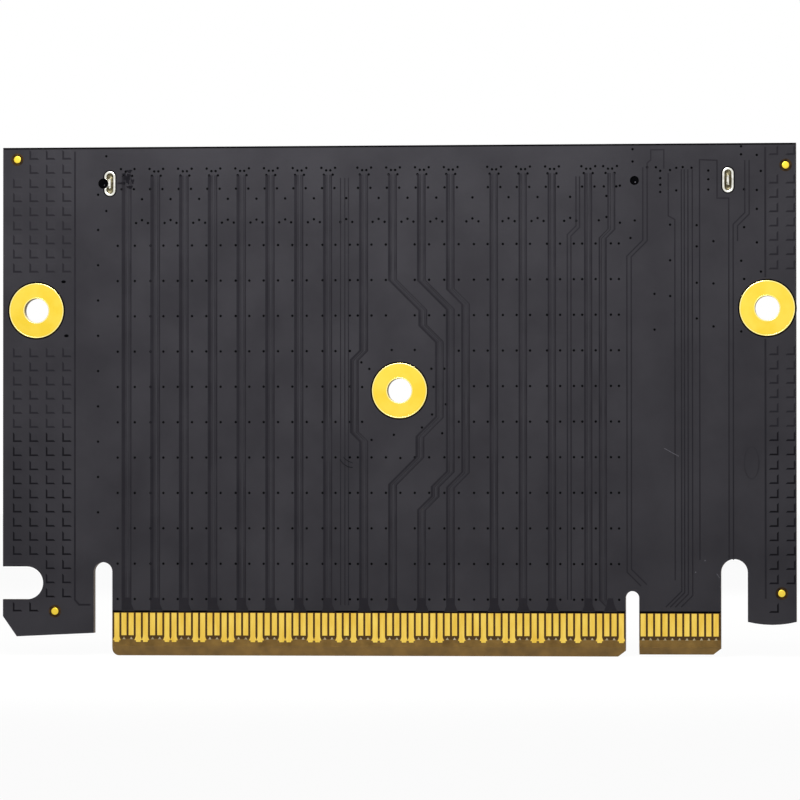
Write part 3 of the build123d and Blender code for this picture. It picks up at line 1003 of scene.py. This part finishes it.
@dataclass
class HoleTrim:
    """Rounded lips on the gold rings with a painted highlight, painted shade round them and the drilled walls.
    """

    bore: float = 1.7
    rim: float = 3.8
    sides: int = 72
    # Growth from the ring's edge and height of each stage
    outer_lip: tuple[Point, ...] = ((0.0, 0.04), (-0.06, 0.07), (-0.12, 0.051))
    inner_lip: tuple[Point, ...] = ((0.12, 0.051), (0.06, 0.068), (0.0, 0.04))
    # Near-black painted shade round the outside of each ring
    outer_shade: tuple[Point, ...] = ((0.2, 0.006), (0.0, 0.006))
    barrel: tuple[Point, ...] = ((-0.01, 0.04), (-0.01, -1.64))

    def band(self, relief: Relief, radius: float, profile: tuple[Point, ...], finish: int = 0) -> None:
        """Draws one profile round all three holes.

        Args:
            relief: Face that it is drawn on.
            radius: Radius that the profile grows from.
            profile: Growth and height of each stage.
            finish: Number of its finish.
        """
        stages = [(radius + grow, height) for grow, height in profile]
        for hole in HOLES:
            relief.turned(hole, stages, self.sides, finish, End.OPEN)

    def build(self) -> None:
        """Builds the lips of the rings on both faces with a painted highlight, the painted shade round the
        rings and the walls of the holes.
        """
        for side in Side:
            relief = Relief(side)
            self.band(relief, self.rim, self.outer_lip)
            self.band(relief, self.bore, self.inner_lip)
            # Near-black painted shade round the outside of each ring
            self.band(relief, self.rim, self.outer_shade, 1)
            name = f"{side.name.lower()}_ring_lips"
            relief.finish_piece(name, [GOLD_EDGE, NEAR_BLACK_SHADE], smooth=True)
        relief = Relief(Side.REAR)
        self.band(relief, self.bore, self.barrel)
        relief.finish_piece("drilled_hole_walls", [BARREL_GOLD], smooth=True)


@dataclass
class AlignmentDots:
    """Round gold dots with soft edges, each in a clearing of the mask with a thin ring of painted shade at its
    edge.
    """

    radius: float = 0.5
    clearing: float = 0.86
    shade_width: float = 0.06
    sides: int = 36
    # Share of the radius and height of each stage
    profile: tuple[Point, ...] = ((1.0, 0.0), (1.0, 0.035), (0.88, 0.052), (0.6, 0.056))

    def build(self) -> None:
        """Builds the dots of both faces."""
        shaded = self.radius + self.shade_width
        dot = [(self.radius * share, height) for share, height in self.profile]
        for side in Side:
            relief = Relief(side)
            for place in DOTS:
                relief.turned(place, dot, self.sides)
                relief.turned(place, [(self.clearing, 0.005), (shaded, 0.005)], self.sides, 1, End.OPEN)
                # A thin near-black ring of painted shade round each dot
                relief.turned(place, [(shaded, 0.006), (self.radius, 0.006)], self.sides, 2, End.OPEN)
            name = side.name.lower()
            finishes = [GOLD, CLEARING, NEAR_BLACK_SHADE]
            piece = relief.finish_piece(f"{name}_round_dots", finishes, smooth=True)
            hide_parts(f"{name}_alignment_dots")


@dataclass
class LockJoints:
    """The soldered tails of the slot's board locks: a domed tin ring round a pocket of fluxed solder."""

    left: float = -72.5
    right: float = 13.2
    pad_length: float = 3.5
    pad_width: float = 1.6
    hole_length: float = 2.8
    hole_width: float = 0.9
    splits: int = 16
    back: float = -1.65
    shade_width: float = 0.12
    shade_height: float = 0.006
    peg_hole: Point = (-73.4, 0.7)
    key_peg_hole: Point = (0.35, 0.6)
    burr: float = 0.08
    # Growth from the peg hole's rim and height of each stage of a peg's shaded end
    peg_profile: tuple[Point, ...] = ((0.02, 0.01), (-0.02, 0.008), (-0.03, -0.09))
    # Place, size and height of the small painted highlight on each peg's end
    highlight_shift: Point = (0.1, -0.22)
    highlight_radius: float = 0.09
    highlight_height: float = -0.08
    # Share of the way from the pad's edge to the hole's, and height, of each stage of the ring
    ring_profile: tuple[Point, ...] = (
        (0.0, 0.0), (0.05, 0.07), (0.25, 0.13), (0.5, 0.155), (0.75, 0.13), (0.95, 0.06), (1.0, 0.0),
    )
    # Share of the way in from the hole's edge, and height, of each stage of the solder
    pocket_profile: tuple[Point, ...] = ((0.0, -0.1), (0.2, -0.22), (0.45, -0.3), (0.7, -0.24), (0.9, -0.1))
    pocket_shrink: Point = (1.5, 0.55)

    def ring_outline(self, x: float, length: float, width: float, share: float) -> list[Point]:
        """Gives one outline of a ring, cut by the left peg's hole.

        Args:
            x: X of the ring's middle.
            length: Length of the outline.
            width: Width of the outline.
            share: How far in from the ring's outer edge it lies.

        Returns:
            Its corners.
        """
        outline = oblong_outline(x, SLOT_HEIGHT, length, width, splits=self.splits)
        return self.clear_of_peg(outline, share)

    def ring(self, name: str, x: float) -> None:
        """Builds one tin ring with its barrel, the pad on the slot's side and a painted shadow round it."""
        relief = Relief(Side.REAR)
        stages: list[Stage] = []
        for share, height in self.ring_profile:
            shrink = share * (self.pad_length - self.hole_length)
            shape = self.ring_outline(x, self.pad_length - shrink, self.pad_width - shrink, share)
            stages.append((shape, height, 0))
        stages.append((self.ring_outline(x, self.hole_length, self.hole_width, 1.0), self.back, 0))
        stages.append((self.ring_outline(x, self.pad_length, self.pad_width, 0.0), self.back, 0))
        relief.rings(stages, End.JOINED)
        # A thin near-black painted shadow round the pad
        shade: list[Stage] = []
        for grow in (2 * self.shade_width, 0.0):
            shape = oblong_outline(x, SLOT_HEIGHT, self.pad_length + grow, self.pad_width + grow)
            shade.append((shape, self.shade_height, 1))
        relief.rings(shade, End.OPEN)
        piece = relief.finish_piece(f"{name}_tin_ring", [BRIGHT_TIN, NEAR_BLACK_SHADE], smooth=True)
        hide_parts(f"{name}_lock_plating")

    def clear_of_peg(self, outline: list[Point], share: float) -> list[Point]:
        """Cuts the left peg's hole out of an outline of the ring.

        Args:
            outline: Corners of the outline.
            share: How far in from the ring's outer edge it lies, which leaves a thin burr round the hole.

        Returns:
            The outline with the corners inside the hole moved out to its rim.
        """
        x, radius = self.peg_hole
        rim = radius + self.burr * share
        cut: list[Point] = []
        for point in outline:
            away = Vector((point[0] - x, point[1] - SLOT_HEIGHT))
            if away.length < rim:
                away = away.normalized() * rim
            cut.append((x + away.x, SLOT_HEIGHT + away.y))
        return cut

    def peg_ends(self) -> None:
        """Builds the ends of the slot's pegs deep in their holes, painted near-black as shade, each with a
        small painted highlight.
        """
        relief = Relief(Side.REAR)
        for x, radius in (self.peg_hole, self.key_peg_hole):
            stages = [(radius + grow, height) for grow, height in self.peg_profile]
            relief.turned((x, SLOT_HEIGHT), stages, 32)
            highlight_dot = round_outline(x + self.highlight_shift[0], SLOT_HEIGHT + self.highlight_shift[1], self.highlight_radius, 10)
            relief.sheet(highlight_dot, self.highlight_height, 1)
        relief.finish_piece("shaded_peg_ends", [NEAR_BLACK_SHADE, SCUFF_AND_HIGHLIGHT])

    def pocket(self, name: str, x: float) -> None:
        """Builds the dished solder that holds one lock's tail."""
        relief = Relief(Side.REAR)
        stages: list[Stage] = []
        for share, height in self.pocket_profile:
            length = self.hole_length - share * self.pocket_shrink[0]
            width = self.hole_width - share * self.pocket_shrink[1]
            stages.append((oblong_outline(x, SLOT_HEIGHT, length, width), height, 0))
        relief.rings(stages)
        piece = relief.finish_piece(f"{name}_solder_pocket", [FLUXED_SOLDER], smooth=True)
        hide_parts(f"{name}_lock_solder")

    def build(self) -> None:
        """Builds both joints."""
        for name, x in (("left", self.left), ("right", self.right)):
            self.ring(name, x)
            self.pocket(name, x)
        self.peg_ends()


def ground_contacts(pairs: tuple[int, ...]) -> set[int]:
    """Gives the contacts on either side of each pair."""
    return {pair - 1 for pair in pairs} | {pair + 2 for pair in pairs}


@dataclass
class FingerTrim:
    """Cut ends of the plating bar below the fingers: flared feet and small pale stubs."""

    width: float = 0.7
    foot_top: float = 2.62
    foot_low: float = 2.12
    foot_flare: float = 0.18
    foot_height: float = 0.047
    tip_half: float = 0.3
    tip_drop: float = 0.25
    tip_height: float = 0.03
    stub_half: float = 0.22
    stub_low: float = 2.25
    stub_top: float = 2.6
    stub_height: float = 0.02

    def foot(self, relief: Relief, x: float) -> None:
        """Draws the flared foot of a ground finger and the narrow tip below it."""
        half = self.width / 2
        foot = tapered_outline(x, self.foot_low, self.foot_top, half + self.foot_flare, half)
        relief.sheet(foot, self.foot_height)
        tip = tapered_outline(x, self.foot_low - self.tip_drop, self.foot_low, self.tip_half, half)
        relief.sheet(tip, self.tip_height)

    def stub(self, relief: Relief, x: float) -> None:
        """Draws the pointed stub below a signal finger."""
        low = [(x - self.stub_half, self.stub_low), (x + self.stub_half, self.stub_low)]
        relief.sheet([*low, (x, self.stub_top)], self.stub_height, 1)

    def build(self) -> None:
        """Builds the feet and stubs of both faces."""
        for side, pairs in ((Side.REAR, REAR_PAIRS), (Side.FRONT, FRONT_PAIRS)):
            relief = Relief(side)
            grounds = ground_contacts(pairs)
            for number in range(1, CONTACTS + 1):
                draw = self.foot if number in grounds else self.stub
                draw(relief, contact_x(number))
            name = f"{side.name.lower()}_plating_bar_ends"
            relief.finish_piece(name, [FINGER_GOLD, BAR_END])


@dataclass
class SlotJoints:
    """Solder pads and fillets under the slot's contact feet, and under the capacitors."""

    shift: float = 0.35
    foot_low: float = 3.55
    foot_high: float = 4.75
    pad_width: float = 0.6
    crest_width: float = 0.5
    crest_slope: float = 0.15
    pad_base: float = 0.005
    pad_top: float = 0.04
    crest_height: float = 0.12
    capacitor_x: float = 1.5
    capacitor_z: float = 58.45
    capacitor_pitch: float = 3.6
    capacitors: int = 4
    end_reach: float = 1.05
    # Width, length, shift towards the body and height of each stage of a capacitor's fillet
    fillet: tuple[tuple[float, float, float, float], ...] = (
        (1.4, 0.9, 0.0, 0.005), (1.3, 0.8, 0.0, 0.05), (1.2, 0.35, 0.1, 0.4),
    )

    def foot_joint(self, relief: Relief, x: float, z: float) -> None:
        """Draws the pad and fillet of one contact foot."""
        length = self.foot_high - self.foot_low
        pad = box_outline(x, z, self.pad_width, length)
        crest = box_outline(x, z, self.crest_width, length - 2 * self.crest_slope)
        relief.rings([(pad, self.pad_base, 0), (pad, self.pad_top, 0), (crest, self.crest_height, 0)])

    def build(self) -> None:
        """Builds the joints on the slot's face."""
        relief = Relief(Side.FRONT)
        for way in (-1, 1):
            middle = SLOT_HEIGHT + way * (self.foot_low + self.foot_high) / 2
            for number in range(1, CONTACTS + 1):
                self.foot_joint(relief, contact_x(number) + self.shift, middle)
            z = self.capacitor_z + way * self.end_reach
            for i in range(self.capacitors):
                x = self.capacitor_x + i * self.capacitor_pitch
                stages: list[Stage] = []
                for wide, long, inward, height in self.fillet:
                    stages.append((box_outline(x, z - way * inward, wide, long), height, 0))
                relief.rings(stages)
        relief.finish_piece("slot_and_capacitor_joints", [TINNED])


@dataclass
class Marks:
    """Small marks of use and handling on the mask of the rear face."""

    # Place and size of the smears beside the left lock, which overlap
    smears: tuple[tuple[float, float, float, float], ...] = (
        (-70.05, 66.1, 0.9, 1.3), (-70.8, 65.45, 1.1, 0.3), (-69.7, 64.9, 0.8, 0.4),
        (-69.8, 67.1, 0.8, 0.4), (-70.5, 66.7, 0.5, 0.3), (-69.3, 65.7, 0.4, 0.6),
    )
    smear_height: float = 0.045
    layer: float = 0.002
    scratch_height: float = 0.046
    rub_place: Point = (16.4, 26.6)
    rub_outer: Point = (1.1, 2.3)
    rub_inner: Point = (0.9, 2.1)
    scuffs: tuple[tuple[Point, Point], ...] = (((4.4, 28.6), (6.4, 27.5)), ((11.6, 11.4), (12.0, 10.8)))
    specks: tuple[Point, ...] = ((10.0, 13.2), (8.7, 11.6), (12.1, 9.6))

    def grime(self) -> None:
        """Draws the smears beside the left lock and the two dark scratches below the centre hole."""
        relief = Relief(Side.REAR)
        for layer, smear in enumerate(self.smears):
            relief.sheet(ragged_outline(*smear), self.smear_height + self.layer * layer)
        relief.ribbon([(-40.4, 27.1), (-39.9, 26.5), (-39.3, 26.1), (-38.6, 26.0)], 0.1, self.scratch_height)
        relief.ribbon([(-39.9, 27.4), (-39.3, 26.9), (-38.6, 26.6)], 0.08, self.scratch_height)
        relief.finish_piece("rubbed_grime_marks", [GRIME])

    def rub(self) -> None:
        """Draws the faint oval that something round has rubbed into the mask at the right."""
        relief = Relief(Side.REAR)
        ovals = [oval_outline(*self.rub_place, *reach, 32) for reach in (self.rub_outer, self.rub_inner)]
        relief.rings([(oval, 0.005, 0) for oval in ovals], End.OPEN)
        relief.finish_piece("oval_rub_mark", [RUN_SHADE_AND_RUB_MASK])

    def dust(self) -> None:
        """Draws the pale scuffs and specks."""
        relief = Relief(Side.REAR)
        for start, end in self.scuffs:
            relief.ribbon([start, end], 0.07, 0.006)
        for x, z in self.specks:
            relief.sheet(round_outline(x, z, 0.09, 8), 0.007)
        relief.finish_piece("scuffs_and_dust", [SCUFF_AND_HIGHLIGHT])

    def build(self) -> None:
        """Draws all the marks."""
        self.grime()
        self.rub()
        self.dust()


def dress_nodes() -> None:
    """Gives each carried-over solid its finish."""
    finishes = {
        "riser_board": BOARD_FINISH,
        "rear_signal_traces": RUN_SHADE_AND_RUB_MASK,
        "slot_housing": NYLON,
        "upper_slot_contacts": BRONZE,
        "lower_slot_contacts": BRONZE,
        "left_board_lock": TINNED,
        "right_board_lock": TINNED,
        "left_lock_plating": BRIGHT_TIN,
        "right_lock_plating": BRIGHT_TIN,
        "left_lock_solder": FLUXED_SOLDER,
        "right_lock_solder": FLUXED_SOLDER,
        "capacitor_bodies": CERAMIC,
        "capacitor_terminals": BRIGHT_TIN,
    }
    for name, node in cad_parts.items():
        finish = finishes.get(name, FINGER_GOLD if "fingers" in name else GOLD)
        node.data.materials.clear()
        node.data.materials.append(finish.material())
        log.info("%s: %s", name, finish.name)


def main() -> None:
    """Builds the camera, the studio and every piece."""
    logging.basicConfig(level=logging.INFO)
    bpy.context.scene.view_settings.view_transform = "Standard"
    Camera().build()
    Studio().build()
    dress_nodes()
    MaskRelief().build()
    CopperSquares().build()
    HoleTrim().build()
    AlignmentDots().build()
    LockJoints().build()
    FingerTrim().build()
    SlotJoints().build()
    Marks().build()


if __name__ == "__main__":
    main()
